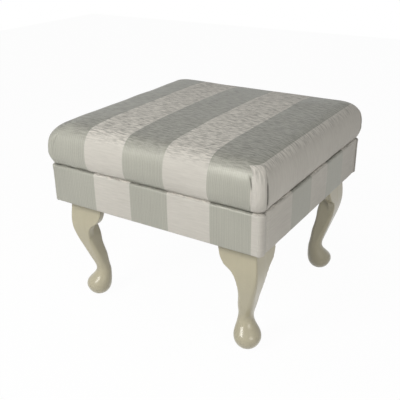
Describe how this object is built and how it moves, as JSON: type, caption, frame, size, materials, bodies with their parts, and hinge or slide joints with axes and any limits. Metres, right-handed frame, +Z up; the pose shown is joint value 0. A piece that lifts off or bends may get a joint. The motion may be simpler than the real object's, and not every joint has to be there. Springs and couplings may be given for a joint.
{
  "type": "upholstered footstool",
  "caption": "Square upholstered footstool with a padded striped top on a covered frame and carved cabriole legs.",
  "frame": {"origin": "on the floor under the middle of the seat", "axes": "+Z up, the front faces -Y, +X to the right and along the slightly longer side"},
  "size_m": [0.453, 0.443, 0.3722],
  "materials": {
    "stripe_fabric": "woven stripe, satin and slub",
    "wadding": "matt polyester",
    "foam": "matt cut foam",
    "plywood": "raw sheet",
    "pine": "planed",
    "painted_wood": "satin paint",
    "dust_cloth": "matt",
    "zinc_screw": "zinc plated",
    "bolt_steel": "zinc plated"
  },
  "bodies": {
    "root": {"batten_screws": "zinc_screw", "dust_cover": "dust_cloth", "frame_screws": "zinc_screw", "front_left_corner_block": "pine", "front_left_leg": "painted_wood", "front_rail": "pine", "front_rail_cover": "stripe_fabric", "front_rail_wadding": "wadding", "front_right_corner_block": "pine", "front_right_leg": "painted_wood", "left_batten": "pine", "left_rail": "pine", "left_rail_cover": "stripe_fabric", "left_rail_wadding": "wadding", "leg_bolts": "bolt_steel", "rear_left_corner_block": "pine", "rear_left_leg": "painted_wood", "rear_rail": "pine", "rear_rail_cover": "stripe_fabric", "rear_rail_wadding": "wadding", "rear_right_corner_block": "pine", "rear_right_leg": "painted_wood", "right_batten": "pine", "right_rail": "pine", "right_rail_cover": "stripe_fabric", "right_rail_wadding": "wadding", "seat_board": "plywood", "seat_foam": "foam", "tee_nuts": "bolt_steel", "top_cover": "stripe_fabric", "top_wadding": "wadding"}
  },
  "joints": []
}
